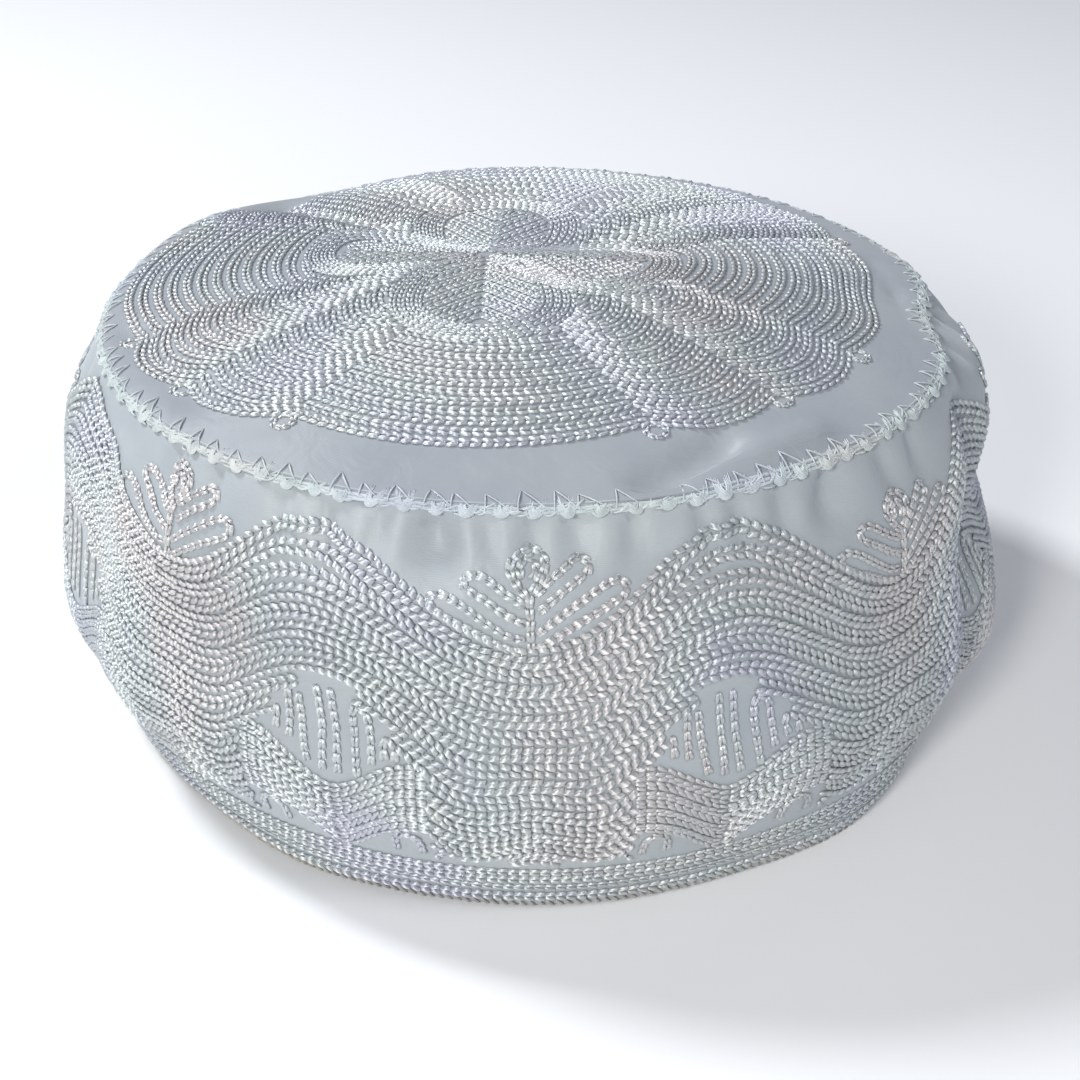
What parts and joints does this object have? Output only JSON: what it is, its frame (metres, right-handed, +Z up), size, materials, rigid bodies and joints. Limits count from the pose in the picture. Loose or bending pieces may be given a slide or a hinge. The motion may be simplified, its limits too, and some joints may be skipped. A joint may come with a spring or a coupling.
{
  "type": "prayer cap",
  "caption": "Soft round prayer cap: a slightly domed crown panel sewn to an upright side band that turns in at shoulder and hem, open below, of satin cloth with chain-stitch embroidery.",
  "frame": {"origin": "the middle of the cap's bounding box, on the plane that its hem rests on", "axes": "+Z up through the crown, -Y towards the front of the cap, +X to the right as seen from the front"},
  "size_m": [0.2001, 0.1944, 0.0915],
  "materials": {
    "crown_satin": "smooth cool white satin cloth with a soft sheen",
    "band_satin": "smooth cool white satin cloth with a soft sheen, gathered under the seam",
    "embroidery_thread": "glossy silver white embroidery thread in chain stitch",
    "seam_thread": "glossy white overcast seam thread and darker hem edge thread"
  },
  "bodies": {
    "root": {"crown_panel": "crown_satin", "side_band": "band_satin"}
  },
  "joints": []
}
